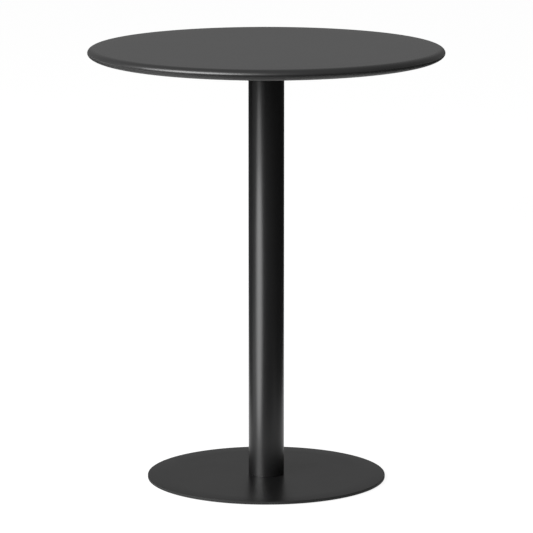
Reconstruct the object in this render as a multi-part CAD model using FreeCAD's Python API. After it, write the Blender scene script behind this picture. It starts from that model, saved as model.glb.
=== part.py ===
import FreeCAD, Part
import math
import os

# Round pedestal dining table: a turned board top on a steel column that stands on a flat disc.
# Millimetres, +Z up. The origin is the middle of the floor under the table.
# One threaded rod inside the column pulls the top plate down and the foot up.

# Whole table
TABLE_HEIGHT = 740.0

# Top board, with an edge that is rounded above and swept back below
TOP_DIAMETER = 600.0
TOP_THICKNESS = 20.0
TOP_EDGE_DROP = 8.0  # from the surface down to the widest line of the edge
TOP_EDGE_SETBACK = 12.0  # from the widest line in to where the surface is flat
UNDER_EDGE_SETBACK = 31.0  # from the widest line in to where the underside is flat

# Disc foot
BASE_DIAMETER = 405.0
BASE_THICKNESS = 5.0
BASE_EDGE_RADIUS = 0.8

# Pads stuck under the foot
GLIDE_COUNT = 6
GLIDE_DIAMETER = 32.0
GLIDE_THICKNESS = 2.0
GLIDE_BEVEL = 0.5
GLIDE_INSET = 34.0  # from the rim of the foot in to a pad's centre

# Column tube
COLUMN_DIAMETER = 60.3
COLUMN_WALL = 2.0

# Boss that fills the lower end of the tube
BOSS_HEIGHT = 25.0

# Flanged cap on the upper end of the tube
CAP_FLANGE = 3.0
CAP_SPIGOT = 10.0

# Plate under the top
PLATE_DIAMETER = 250.0
PLATE_THICKNESS = 4.0
PLATE_EDGE_RADIUS = 0.8

# Tie rod, from the boss up through the plate
ROD_DIAMETER = 10.0
ROD_CHAMFER = 1.0
ROD_FOOT_GAP = 2.0  # between the rod's lower end and the foot
ROD_END = 1.5  # rod that stands out past its nut
ROD_WASHER_DIAMETER = 20.0
ROD_WASHER_THICKNESS = 2.0
ROD_SPRING_DIAMETER = 18.0
ROD_SPRING_THICKNESS = 2.2
ROD_NUT_FLATS = 17.0
ROD_NUT_HEIGHT = 5.0
NUT_CHAMFER = 0.8
RECESS_SIDE_ROOM = 7.5  # round the washer, for a socket spanner
RECESS_HEADROOM = 1.3  # above the rod's upper end

# Bolts that hold the top to its plate
BOLT_COUNT = 8
BOLT_DIAMETER = 6.0
BOLT_EDGE = 15.0  # from the rim of the plate in to a bolt's axis
BOLT_HEAD_DIAMETER = 10.5
BOLT_HEAD_HEIGHT = 3.3
BOLT_HEAD_FLAT = 5.6  # flat end of the domed head
BOLT_SOCKET = 4.0
BOLT_SOCKET_DEPTH = 2.0
BOLT_END_GAP = 3.2  # insert that is left empty past the bolt's tip
WASHER_DIAMETER = 12.0
WASHER_THICKNESS = 1.6
SPRING_DIAMETER = 11.0
SPRING_THICKNESS = 1.6
SPRING_GAP = 1.2  # slit in a spring washer
SPRING_LEAN = 30.0  # degrees that the slit leans

# Threaded inserts in the board
INSERT_WALL = 1.75
INSERT_COVER = 7.0  # board left above an insert's hole
INSERT_RELIEF = 1.0  # empty hole above an insert
INSERT_BARBS = 4
BARB_DEPTH = 0.6

# Countersunk screws from the foot up into the boss
SCREW_COUNT = 4
SCREW_DIAMETER = 6.0
SCREW_EDGE = 10.0  # from the side of the boss in to a screw's axis
SCREW_HEAD_DIAMETER = 12.0
SCREW_SINK = 0.3  # head below the face of the foot
SCREW_SOCKET = 4.0
SCREW_SOCKET_DEPTH = 2.2
SCREW_END_GAP = 3.0  # between a screw's tip and the top of the boss

# Tips of the bolts and screws
SHANK_CHAMFER = 0.6

# Clearances, each measured on the radius
SPIGOT_CLEARANCE = 0.15  # boss and cap in the tube
THREAD_CLEARANCE = 0.05  # thread in its tapped hole
HOLE_CLEARANCE = 0.3  # bolt, rod or screw in a plain hole
INSERT_CLEARANCE = 0.1  # insert in the board
SEAT_CLEARANCE = 0.05  # screw head in its countersink

# Heights of the faces that pieces meet at
base_bottom = GLIDE_THICKNESS
base_top = base_bottom + BASE_THICKNESS
boss_top = base_top + BOSS_HEIGHT
board_bottom = TABLE_HEIGHT - TOP_THICKNESS
plate_bottom = board_bottom - PLATE_THICKNESS
tube_top = plate_bottom - CAP_FLANGE
rod_washer_top = board_bottom + ROD_WASHER_THICKNESS
rod_spring_top = rod_washer_top + ROD_SPRING_THICKNESS
rod_nut_top = rod_spring_top + ROD_NUT_HEIGHT
rod_top = rod_nut_top + ROD_END
washer_bottom = plate_bottom - WASHER_THICKNESS
spring_bottom = washer_bottom - SPRING_THICKNESS
insert_top = TABLE_HEIGHT - INSERT_COVER - INSERT_RELIEF
bolt_top = insert_top - BOLT_END_GAP

# Sizes that follow from the driving ones
tube_bore = COLUMN_DIAMETER - 2 * COLUMN_WALL
spigot_diameter = tube_bore - 2 * SPIGOT_CLEARANCE
rod_hole = ROD_DIAMETER + 2 * HOLE_CLEARANCE
rod_thread_hole = ROD_DIAMETER + 2 * THREAD_CLEARANCE
bolt_hole = BOLT_DIAMETER + 2 * HOLE_CLEARANCE
bolt_thread_hole = BOLT_DIAMETER + 2 * THREAD_CLEARANCE
screw_hole = SCREW_DIAMETER + 2 * HOLE_CLEARANCE
screw_thread_hole = SCREW_DIAMETER + 2 * THREAD_CLEARANCE
insert_diameter = BOLT_DIAMETER + 2 * INSERT_WALL
insert_hole = insert_diameter + 2 * INSERT_CLEARANCE
recess_diameter = ROD_WASHER_DIAMETER + 2 * RECESS_SIDE_ROOM
recess_top = rod_top + RECESS_HEADROOM
glide_circle = BASE_DIAMETER / 2 - GLIDE_INSET
bolt_circle = PLATE_DIAMETER / 2 - BOLT_EDGE
screw_circle = spigot_diameter / 2 - SCREW_EDGE
screw_turn = 180.0 / SCREW_COUNT  # degrees, half a step from the X axis


def point(radius, height):
    """A point of a turned profile, in the XZ plane."""
    return FreeCAD.Vector(radius, 0, height)


def line(start, end):
    """A straight edge between two points."""
    return Part.LineSegment(start, end).toShape()


def turned(edges):
    """The solid that a closed profile of edges sweeps in one turn about Z."""
    face = Part.Face(Part.Wire(edges))
    return face.revolve(FreeCAD.Vector(0, 0, 0), FreeCAD.Vector(0, 0, 1), 360)


def turned_outline(points):
    """The solid turned from a closed outline of straight edges."""
    closed = points + points[:1]
    return turned([line(a, b) for a, b in zip(closed, closed[1:])])


def cylinder(diameter, bottom, top):
    """A round bar on the Z axis between two heights."""
    return Part.makeCylinder(diameter / 2, top - bottom, FreeCAD.Vector(0, 0, bottom))


def cone(bottom_diameter, top_diameter, bottom, top):
    """A cone on the Z axis between two heights."""
    place = FreeCAD.Vector(0, 0, bottom)
    return Part.makeCone(bottom_diameter / 2, top_diameter / 2, top - bottom, place)


def ring(outer, inner, bottom, top):
    """A flat ring on the Z axis between two heights."""
    return cylinder(outer, bottom, top).cut(cylinder(inner, bottom, top))


def hexagon(flats, bottom, top):
    """A six-sided bar on the Z axis, measured across its flats."""
    corner = flats / math.sqrt(3)
    turns = [math.pi / 3 * i for i in range(6)]
    corners = [FreeCAD.Vector(corner * math.cos(t), corner * math.sin(t), bottom) for t in turns]
    face = Part.Face(Part.makePolygon(corners + corners[:1]))
    return face.extrude(FreeCAD.Vector(0, 0, top - bottom))


def rounded_disc(diameter, bottom, top, edge_radius):
    """A flat disc whose two rims are rounded."""
    disc = cylinder(diameter, bottom, top)
    rims = [e for e in disc.Edges if isinstance(e.Curve, Part.Circle)]
    return disc.makeFillet(edge_radius, rims)


def threaded_shank(diameter, bottom, top):
    """A round bar with a chamfered tip at its upper end, as the end of a thread has."""
    radius = diameter / 2
    return turned_outline([
        point(0, bottom),
        point(radius, bottom),
        point(radius, top - SHANK_CHAMFER),
        point(radius - SHANK_CHAMFER, top),
        point(0, top),
    ])


def around(shape, count, circle, first_turn=0.0):
    """Copies of a shape set evenly round the Z axis, as a list."""
    copies = []
    for i in range(count):
        copy = shape.copy()
        copy.translate(FreeCAD.Vector(circle, 0, 0))
        turn = first_turn + 360.0 * i / count
        copy.rotate(FreeCAD.Vector(0, 0, 0), FreeCAD.Vector(0, 0, 1), turn)
        copies.append(copy)
    return copies


def rounded_corner(wide_radius, wide_height, flat_radius, flat_height):
    """A quarter ellipse from an upright tangent at the widest line to a level one at a flat face."""
    corner = Part.BezierCurve()
    corner.setPoles([
        point(wide_radius, wide_height),
        point(wide_radius, flat_height),
        point(flat_radius, flat_height),
    ])
    corner.setWeight(2, math.sqrt(0.5))
    return corner.toShape()


def table_top():
    """Board with its two-part rounded edge, a recess for the rod's nut and holes for the inserts."""
    wide_radius = TOP_DIAMETER / 2
    wide_height = TABLE_HEIGHT - TOP_EDGE_DROP
    top_flat = wide_radius - TOP_EDGE_SETBACK
    under_flat = wide_radius - UNDER_EDGE_SETBACK
    board = turned([
        line(point(0, board_bottom), point(under_flat, board_bottom)),
        rounded_corner(wide_radius, wide_height, under_flat, board_bottom),
        rounded_corner(wide_radius, wide_height, top_flat, TABLE_HEIGHT),
        line(point(top_flat, TABLE_HEIGHT), point(0, TABLE_HEIGHT)),
        line(point(0, TABLE_HEIGHT), point(0, board_bottom)),
    ])
    hole = cylinder(insert_hole, board_bottom, insert_top + INSERT_RELIEF)
    recess = cylinder(recess_diameter, board_bottom, recess_top)
    return board.cut([recess] + around(hole, BOLT_COUNT, bolt_circle))


def threaded_inserts():
    """Barbed sleeves pressed into the board, one for each bolt."""
    length = insert_top - board_bottom
    pitch = length / INSERT_BARBS
    inner = bolt_thread_hole / 2
    outer = insert_diameter / 2
    outline = [point(inner, board_bottom)]
    for i in range(INSERT_BARBS):
        foot = board_bottom + i * pitch
        outline.append(point(outer, foot))
        outline.append(point(outer - BARB_DEPTH, foot + pitch))
    outline.append(point(inner, insert_top))
    return Part.makeCompound(around(turned_outline(outline), BOLT_COUNT, bolt_circle))


def mounting_plate():
    """Round steel plate that carries the board, with one hole for the rod and one for each bolt."""
    plate = rounded_disc(PLATE_DIAMETER, plate_bottom, board_bottom, PLATE_EDGE_RADIUS)
    hole = cylinder(bolt_hole, plate_bottom, board_bottom)
    middle = cylinder(rod_hole, plate_bottom, board_bottom)
    return plate.cut([middle] + around(hole, BOLT_COUNT, bolt_circle))


def plate_bolts():
    """Domed bolts with six-sided sockets, up through the plate into the inserts."""
    rim = BOLT_HEAD_DIAMETER / 2
    crown = BOLT_HEAD_FLAT / 2
    head_bottom = spring_bottom - BOLT_HEAD_HEIGHT
    head = turned([
        line(point(0, spring_bottom), point(rim, spring_bottom)),
        rounded_corner(rim, spring_bottom, crown, head_bottom),
        line(point(crown, head_bottom), point(0, head_bottom)),
        line(point(0, head_bottom), point(0, spring_bottom)),
    ])
    shank = threaded_shank(BOLT_DIAMETER, spring_bottom, bolt_top)
    socket = hexagon(BOLT_SOCKET, head_bottom, head_bottom + BOLT_SOCKET_DEPTH)
    bolt = head.fuse(shank).removeSplitter().cut(socket)
    return Part.makeCompound(around(bolt, BOLT_COUNT, bolt_circle))


def flat_washers():
    """Flat washers under the plate, one on each bolt."""
    washer = ring(WASHER_DIAMETER, bolt_hole, washer_bottom, plate_bottom)
    return Part.makeCompound(around(washer, BOLT_COUNT, bolt_circle))


def split_ring(outer, inner, bottom, top):
    """A spring washer pressed flat: a ring with a leaning slit through one side."""
    slit = Part.makeBox(outer, SPRING_GAP, 2 * outer, FreeCAD.Vector(0, -SPRING_GAP / 2, -outer))
    slit.rotate(FreeCAD.Vector(0, 0, 0), FreeCAD.Vector(1, 0, 0), SPRING_LEAN)
    slit.translate(FreeCAD.Vector(0, 0, (bottom + top) / 2))
    return ring(outer, inner, bottom, top).cut(slit)


def spring_washers():
    """Spring washers between the flat washers and the bolt heads."""
    washer = split_ring(SPRING_DIAMETER, bolt_hole, spring_bottom, washer_bottom)
    return Part.makeCompound(around(washer, BOLT_COUNT, bolt_circle))


def column_tube():
    """Round tube that stands on the foot and carries the cap."""
    return ring(COLUMN_DIAMETER, tube_bore, base_top, tube_top)


def column_cap():
    """Flanged cap: its spigot centres the tube and its flange lies between the tube and the plate."""
    spigot = cylinder(spigot_diameter, tube_top - CAP_SPIGOT, tube_top)
    flange = cylinder(COLUMN_DIAMETER, tube_top, plate_bottom)
    hole = cylinder(rod_hole, tube_top - CAP_SPIGOT, plate_bottom)
    return spigot.fuse(flange).removeSplitter().cut(hole)


def foot_boss():
    """Turned boss that centres the tube on the foot, tapped for the rod and the foot screws."""
    boss = cylinder(spigot_diameter, base_top, boss_top)
    rod_thread = cylinder(rod_thread_hole, base_top, boss_top)
    screw_thread = cylinder(screw_thread_hole, base_top, boss_top)
    return boss.cut([rod_thread] + around(screw_thread, SCREW_COUNT, screw_circle, screw_turn))


def tie_rod():
    """Threaded rod, chamfered at both ends, from the boss up through the cap and the plate."""
    radius = ROD_DIAMETER / 2
    rod_bottom = base_top + ROD_FOOT_GAP
    return turned_outline([
        point(0, rod_bottom),
        point(radius - ROD_CHAMFER, rod_bottom),
        point(radius, rod_bottom + ROD_CHAMFER),
        point(radius, rod_top - ROD_CHAMFER),
        point(radius - ROD_CHAMFER, rod_top),
        point(0, rod_top),
    ])


def rod_flat_washer():
    """Flat washer on the plate, under the rod's nut."""
    return ring(ROD_WASHER_DIAMETER, rod_hole, board_bottom, rod_washer_top)


def rod_spring_washer():
    """Spring washer that keeps the rod's nut from working loose."""
    return split_ring(ROD_SPRING_DIAMETER, rod_hole, rod_washer_top, rod_spring_top)


def rod_nut():
    """Thin nut with chamfered corners at the upper end of the rod."""
    corner = 2 * ROD_NUT_FLATS / math.sqrt(3)
    bar = hexagon(ROD_NUT_FLATS, rod_spring_top, rod_nut_top)
    lower = rod_spring_top + NUT_CHAMFER
    upper = rod_nut_top - NUT_CHAMFER
    limit = cylinder(corner, lower, upper)
    limit = limit.fuse(cone(ROD_NUT_FLATS, corner, rod_spring_top, lower))
    limit = limit.fuse(cone(corner, ROD_NUT_FLATS, upper, rod_nut_top))
    return bar.common(limit).cut(cylinder(rod_thread_hole, rod_spring_top, rod_nut_top))


def base_plate():
    """Flat steel disc with countersunk holes from below."""
    disc = rounded_disc(BASE_DIAMETER, base_bottom, base_top, BASE_EDGE_RADIUS)
    mouth = SCREW_HEAD_DIAMETER + 2 * SEAT_CLEARANCE
    seat_bottom = base_bottom + SCREW_SINK
    seat_top = seat_bottom + (mouth - screw_hole) / 2
    hole = cylinder(screw_hole, base_bottom, base_top)
    hole = hole.fuse(cylinder(mouth, base_bottom, seat_bottom))
    hole = hole.fuse(cone(mouth, screw_hole, seat_bottom, seat_top))
    return disc.cut(around(hole, SCREW_COUNT, screw_circle, screw_turn))


def foot_screws():
    """Countersunk screws with six-sided sockets, from under the foot up into the boss."""
    head_bottom = base_bottom + SCREW_SINK
    head_top = head_bottom + (SCREW_HEAD_DIAMETER - SCREW_DIAMETER) / 2
    head = cone(SCREW_HEAD_DIAMETER, SCREW_DIAMETER, head_bottom, head_top)
    shank = threaded_shank(SCREW_DIAMETER, head_top, boss_top - SCREW_END_GAP)
    socket = hexagon(SCREW_SOCKET, head_bottom, head_bottom + SCREW_SOCKET_DEPTH)
    screw = head.fuse(shank).removeSplitter().cut(socket)
    return Part.makeCompound(around(screw, SCREW_COUNT, screw_circle, screw_turn))


def glide_pads():
    """Bevelled pads under the rim of the foot, in order round the table."""
    wide = GLIDE_DIAMETER / 2
    narrow = wide - GLIDE_BEVEL
    pad = turned_outline([
        point(0, 0),
        point(narrow, 0),
        point(wide, GLIDE_BEVEL),
        point(wide, GLIDE_THICKNESS),
        point(0, GLIDE_THICKNESS),
    ])
    return around(pad, GLIDE_COUNT, glide_circle)


def main():
    """Builds every piece and writes each to a file of its own."""
    pieces = [
        table_top, threaded_inserts, mounting_plate, plate_bolts, flat_washers, spring_washers,
        column_tube, column_cap, foot_boss, tie_rod, rod_flat_washer, rod_spring_washer, rod_nut,
        base_plate, foot_screws,
    ]
    os.makedirs("parts", exist_ok=True)
    for piece in pieces:
        piece().exportStep(f"parts/{piece.__name__}.step")
    for number, pad in enumerate(glide_pads(), start=1):
        pad.exportStep(f"parts/glide_pad_{number}.step")


main()
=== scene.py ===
"""Round pedestal dining table: its pieces as numpy surfaces, their finishes and a plain studio stage.

Metres, +Z up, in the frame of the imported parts. Every piece takes its place and main sizes from the node that
it stands for.
"""
import math

import bmesh
import bpy
import numpy as np
from bpy.props import FloatProperty, FloatVectorProperty, IntProperty, PointerProperty
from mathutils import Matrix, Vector


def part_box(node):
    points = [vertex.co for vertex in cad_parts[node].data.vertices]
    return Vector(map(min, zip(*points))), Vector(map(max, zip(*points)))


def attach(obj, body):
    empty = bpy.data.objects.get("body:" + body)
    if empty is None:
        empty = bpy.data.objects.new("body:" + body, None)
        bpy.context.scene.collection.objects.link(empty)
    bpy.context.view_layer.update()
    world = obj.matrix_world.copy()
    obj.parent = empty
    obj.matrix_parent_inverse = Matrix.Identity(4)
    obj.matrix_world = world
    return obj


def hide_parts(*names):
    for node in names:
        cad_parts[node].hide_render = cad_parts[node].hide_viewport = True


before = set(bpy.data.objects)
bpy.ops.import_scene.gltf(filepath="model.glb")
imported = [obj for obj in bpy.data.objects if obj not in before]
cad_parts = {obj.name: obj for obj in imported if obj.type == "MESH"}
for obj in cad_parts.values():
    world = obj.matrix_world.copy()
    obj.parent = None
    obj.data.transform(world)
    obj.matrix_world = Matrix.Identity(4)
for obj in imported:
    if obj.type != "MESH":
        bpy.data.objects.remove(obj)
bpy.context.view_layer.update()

bl_info = {
    "name": "Round Pedestal Dining Table",
    "version": (1, 0, 0),
    "blender": (4, 5, 0),
    "location": "View3D > Sidebar > Table",
    "description": "Builds the pieces, finishes and stage of a round pedestal dining table",
    "category": "Add Mesh",
}

BODY = "root"
MM = 0.001
FULL_TURN = 2.0 * math.pi
QUARTER_TURN = math.pi / 2.0
MERGE_GAP = 0.002 * MM  # points closer than this are one point
SHARP_TURN = math.radians(30.0)  # faces that meet at a larger turn keep a crisp edge


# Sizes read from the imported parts

def ends_of(node):
    """Heights of a node's lowest and highest points."""
    lowest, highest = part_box(node)
    return lowest.z, highest.z


def reach_of(node):
    """Distance from the table's axis to a node's furthest point along +X."""
    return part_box(node)[1].x


# Settings that a user may change

def length(name, description, default, least=0.0):
    """A length."""
    return FloatProperty(
        name=name, description=description, default=default, min=least, precision=5,
        subtype="DISTANCE", unit="LENGTH",
    )


def tilt(name, description, degrees):
    """An angle."""
    return FloatProperty(
        name=name, description=description, default=math.radians(degrees), subtype="ANGLE", unit="ROTATION",
    )


def tint(name, description, default):
    """A colour."""
    return FloatVectorProperty(
        name=name, description=description, default=default, min=0.0, max=1.0, size=3, subtype="COLOR",
    )


def grey(name, description, level):
    """A colour that starts as a plain grey."""
    return tint(name, description, (level, level, level))


def plain(name, description, default):
    """A plain number."""
    return FloatProperty(name=name, description=description, default=default, min=0.0)


def whole(name, description, default):
    """A number of like things round a circle."""
    return IntProperty(name=name, description=description, default=default, min=3)


class BoardSizes(bpy.types.PropertyGroup):
    """Sizes of the board top."""

    radius: length("Radius", "From the axis to the widest line of the edge", reach_of("table_top"))
    edge_drop: length("Edge Drop", "From the surface down to the widest line", 8.0 * MM)
    edge_setback: length("Edge Setback", "From the widest line in to the flat surface", 12.0 * MM)
    under_setback: length("Under Setback", "From the widest line in to the flat underside", 31.0 * MM)
    recess_radius: length("Recess Radius", "Round recess over the rod's nut", 17.5 * MM)
    recess_depth: length("Recess Depth", "From the underside up to the recess ceiling", 12.0 * MM)
    insert_hole_radius: length("Insert Hole Radius", "Holes that take the inserts", 4.85 * MM)
    insert_hole_depth: length("Insert Hole Depth", "From the underside up", 13.0 * MM)


class ColumnSizes(bpy.types.PropertyGroup):
    """Sizes of the column tube, its cap and its boss."""

    radius: length("Radius", "Outside of the tube", reach_of("column_tube"))
    wall: length("Wall", "Thickness of the tube's wall", 2.0 * MM)
    spigot_radius: length("Spigot Radius", "Cap and boss inside the tube", reach_of("foot_boss"))
    cap_flange: length("Cap Flange", "Cap between the tube and the plate", 3.0 * MM)
    edge_break: length("Edge Break", "Chamfer that takes the burr off a turned edge", 0.3 * MM)


class FootSizes(bpy.types.PropertyGroup):
    """Sizes of the disc foot, its screws and its pads."""

    radius: length("Radius", "Disc from the axis to the rim", reach_of("base_plate"))
    edge_radius: length("Edge Radius", "Rounding of the rim", 0.8 * MM)
    screw_circle: length("Screw Circle", "From the axis to a screw", 18.0 * MM)
    screw_count: whole("Screw Count", "Screws from the foot into the boss", 4)
    screw_hole_radius: length("Screw Hole Radius", "Plain hole through the disc", 3.3 * MM)
    mouth_radius: length("Mouth Radius", "Wide end of the countersink", 6.05 * MM)
    mouth_depth: length("Mouth Depth", "From the underside up to the countersink's wide end", 0.3 * MM)
    screw_head_radius: length("Screw Head Radius", "Wide end of the sunk head", 6.0 * MM)
    pad_radius: length("Pad Radius", "Pad from its centre to its rim", 16.0 * MM)
    pad_bevel: length("Pad Bevel", "Bevel round the pad's underside", 0.5 * MM)
    pad_groove: length("Pad Groove", "Depth of the grip rings moulded into the underside", 0.3 * MM)


class PlateSizes(bpy.types.PropertyGroup):
    """Sizes of the plate under the board, of the bolts through it and of their inserts."""

    radius: length("Radius", "Plate from the axis to the rim", reach_of("mounting_plate"))
    edge_radius: length("Edge Radius", "Rounding of the rim", 0.8 * MM)
    bolt_circle: length("Bolt Circle", "From the axis to a bolt", 110.0 * MM)
    bolt_count: whole("Bolt Count", "Bolts round the plate", 8)
    bolt_hole_radius: length("Bolt Hole Radius", "Plain hole for a bolt", 3.3 * MM)
    head_radius: length("Head Radius", "Domed bolt head", 5.25 * MM)
    crown_radius: length("Crown Radius", "Flat end of the domed head", 2.8 * MM)
    washer_radius: length("Washer Radius", "Flat washer", 6.0 * MM)
    spring_radius: length("Spring Radius", "Spring washer", 5.5 * MM)
    insert_radius: length("Insert Radius", "Insert over its barbs", 4.75 * MM)
    barb_depth: length("Barb Depth", "Height of an insert's barbs", 0.6 * MM)


class ScrewSizes(bpy.types.PropertyGroup):
    """Sizes that the small bolts and screws share."""

    radius: length("Radius", "Outside of the thread", 3.0 * MM)
    pitch: length("Pitch", "Climb of the thread in one turn", 1.0 * MM)
    socket_flats: length("Socket Flats", "Width across the flats of the socket", 4.0 * MM)
    bolt_socket_depth: length("Bolt Socket Depth", "Socket in a domed head", 2.0 * MM)
    screw_socket_depth: length("Screw Socket Depth", "Socket in a sunk head", 2.2 * MM)
    tip_chamfer: length("Tip Chamfer", "Chamfer at the tip", 0.6 * MM)
    slit: length("Slit", "Gap in a spring washer", 1.2 * MM)
    lean: tilt("Lean", "Lean of the slit in a spring washer", 30.0)
    slack: length("Slack", "Room on the radius between a thread and its tapped hole", 0.05 * MM)


class RodSizes(bpy.types.PropertyGroup):
    """Sizes of the tie rod and of what is on its upper end."""

    radius: length("Radius", "Outside of the rod", reach_of("tie_rod"))
    pitch: length("Pitch", "Climb of the thread in one turn", 1.5 * MM)
    chamfer: length("Chamfer", "Chamfer at both ends", 1.0 * MM)
    foot_thread: length("Foot Thread", "Threaded stretch at the lower end", 40.0 * MM)
    top_thread: length("Top Thread", "Threaded stretch at the upper end", 60.0 * MM)
    hole_radius: length("Hole Radius", "Plain hole for the rod", 5.3 * MM)
    washer_radius: length("Washer Radius", "Flat washer under the nut", 10.0 * MM)
    spring_radius: length("Spring Radius", "Spring washer under the nut", 9.0 * MM)
    nut_flats: length("Nut Flats", "Width across the nut's flats", 17.0 * MM)
    nut_chamfer: length("Nut Chamfer", "Height of the nut's corner chamfers", 0.8 * MM)


class FinishColours(bpy.types.PropertyGroup):
    """Colours of the finishes."""

    board: tint("Board Lacquer", "Matte lacquer of the board", (0.015, 0.015, 0.0153))
    coat: tint("Black Coat", "Powder coat of the column and foot", (0.006, 0.006, 0.0062))
    zinc: tint("Zinc", "Plated bolts, screws, washers and rod", (0.60, 0.60, 0.58))
    spring: tint("Spring Steel", "Blackened spring washers", (0.28, 0.28, 0.29))
    turned: tint("Turned Steel", "Bare turned boss", (0.45, 0.45, 0.46))
    brass: tint("Brass", "Threaded inserts", (0.72, 0.55, 0.25))
    rubber: grey("Rubber", "Pads under the foot", 0.030)


class StageSettings(bpy.types.PropertyGroup):
    """Floor, room, sheets beside the picture, lamps and camera."""

    floor_reach: length("Floor Reach", "Floor from the axis to its edge", 16.0)
    floor_colour: grey("Floor Colour", "Pale floor", 0.22)
    floor_lift: plain("Floor Lift", "Glow that brings the floor up to white as it is seen", 0.92)
    room_colour: grey("Room Colour", "Dim room round the stage", 0.24)
    left_flag_colour: grey("Left Flag Colour", "Grey sheet left of the picture", 0.40)
    right_flag_colour: grey("Right Flag Colour", "Dark sheet right of the picture", 0.09)
    cloth_colour: grey("Cloth Colour", "Black cloths on the floor, in front and far left", 0.02)
    key_glow: plain("Key Glow", "Brightness of the large softbox", 8.5)
    strip_glow: plain("Strip Glow", "Brightness of the tall softbox beside the column", 0.58)
    core_glow: plain("Core Glow", "Added brightness of that softbox's hot middle", 0.62)
    camera_distance: length("Camera Distance", "Camera in front of the axis", 6.3026)
    camera_height: length("Camera Height", "Camera above the floor", 1.5239)
    camera_tilt: tilt("Camera Tilt", "Tilt below the horizon", 10.406)
    camera_aside: length("Camera Aside", "Camera right of the axis, or left if negative", 0.0003, least=-1.0)
    lens: plain("Lens", "Focal length in millimetres on a 36 mm sensor", 255.6)


# Fineness of the surfaces: columns in a turn, and steps along a profile

BOARD_COLUMNS = 256
TUBE_COLUMNS = 128
DISC_COLUMNS = 256
PLATE_COLUMNS = 192
PAD_COLUMNS = 64
BOSS_COLUMNS = 96
ROD_COLUMNS = 48
SCREW_COLUMNS = 48
FLOOR_COLUMNS = 96
TOP_STEPS = 6  # board, from the axis to the rounding
UPPER_EDGE_STEPS = 20
LOWER_EDGE_STEPS = 28
UNDERSIDE_STEPS = 3
DISC_STEPS = 5  # foot, from the screws to the rim
PLATE_STEPS = 3  # plate, from the bolts to the rod
RIM_STEPS = 5
DOME_STEPS = 10
SIDE_STEPS = 8  # across the ring of holes in the board and foot
SMALL_SIDE_STEPS = 6  # and in the plate and boss


# Profiles and grids of points

def full_turn(count):
    """Angles of one turn in equal steps; the last is the first again, so that the seam closes."""
    return np.linspace(0.0, FULL_TURN, count + 1)


def straight(start, end, steps=1):
    """Straight run of a profile in equal steps."""
    return np.linspace(start, end, steps + 1)


def rounded(wide, flat, steps):
    """Quarter ellipse from an upright tangent at wide to a level one at flat.

    Each point is a (radius, height). The radius goes with the cosine and the height with the sine of an angle
    that runs from nothing to a quarter turn.
    """
    angle = np.linspace(0.0, QUARTER_TURN, steps + 1)
    radius = flat[0] + (wide[0] - flat[0]) * np.cos(angle)
    height = wide[1] + (flat[1] - wide[1]) * np.sin(angle)
    return np.stack((radius, height), axis=-1)


def joined(*runs):
    """One profile from points and runs of points that follow each other."""
    return np.concatenate([np.atleast_2d(run) for run in runs])


def disc_edge(inner, radius, rounding, low, high, steps):
    """Outer part of a disc's profile: out along the top, round the rim's two edges and back below."""
    rim = radius - rounding
    return joined(
        straight((inner, high), (rim, high), steps),
        rounded((radius, high - rounding), (rim, high), RIM_STEPS)[::-1],
        rounded((radius, low + rounding), (rim, low), RIM_STEPS),
        straight((rim, low), (inner, low), steps),
    )


def ring_section(inner, outer, low, high, bevel):
    """Closed section of a ring: a rectangle with its corners broken."""
    return joined(
        (inner, low + bevel), (inner + bevel, low), (outer - bevel, low), (outer, low + bevel),
        (outer, high - bevel), (outer - bevel, high), (inner + bevel, high), (inner, high - bevel),
        (inner, low + bevel),
    )


def polar(radius, height, angle):
    """Points at a radius, a height and an angle about the Z axis; the three arrays broadcast to one grid."""
    radius, height, angle = np.broadcast_arrays(radius, height, angle)
    return np.stack((radius * np.cos(angle), radius * np.sin(angle), height), axis=-1)


def turned(profile, count):
    """Surface of revolution: row s, column t is point s of the profile after t of count equal turns."""
    profile = np.asarray(profile, float)
    return polar(profile[:, :1], profile[:, 1:], full_turn(count))


def six_sided(flats, angle):
    """Radius of a hexagon by angle: half its width over the cosine of the angle from the nearest flat."""
    return flats / 2.0 / np.cos(np.mod(angle, math.pi / 3.0) - math.pi / 6.0)


# Shares of the pitch at which a thread's profile bends, and its rise there from root to crest
THREAD_BENDS = np.array((0.0, 0.25, 0.5625, 0.6875))
THREAD_RISE = np.array((0.0, 0.0, 1.0, 1.0))
THREAD_DEPTH = 0.6134  # depth of a thread as a share of its pitch


def root_of(crest, pitch):
    """Radius at a thread's root, from the radius at its crest."""
    return crest - THREAD_DEPTH * pitch


def thread(crest, pitch, end, bottom, top, angle):
    """Screw thread between two heights.

    A row is one bend of the profile. Along a row the height climbs by one pitch in a turn, so a row's last
    point is the first point of the row one pitch above. Heights stop at the bottom and top, and within one
    pitch of them the radius eases from the thread to the end radius. Heights are counted from the frame's
    origin, so that a thread and its tapped hole mesh.
    """
    root = root_of(crest, pitch)
    turns = np.arange(math.floor(bottom / pitch) - 2, math.ceil(top / pitch) + 2)
    climb = (turns[:, None] + THREAD_BENDS).ravel()[:, None] * pitch
    height = np.clip(climb + pitch * angle / FULL_TURN, bottom, top)
    radius = np.tile(root + (crest - root) * THREAD_RISE, len(turns))[:, None]
    ease = np.clip(np.minimum(height - bottom, top - height) / pitch, 0.0, 1.0)
    return polar(end + (radius - end) * ease, height, angle)


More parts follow.
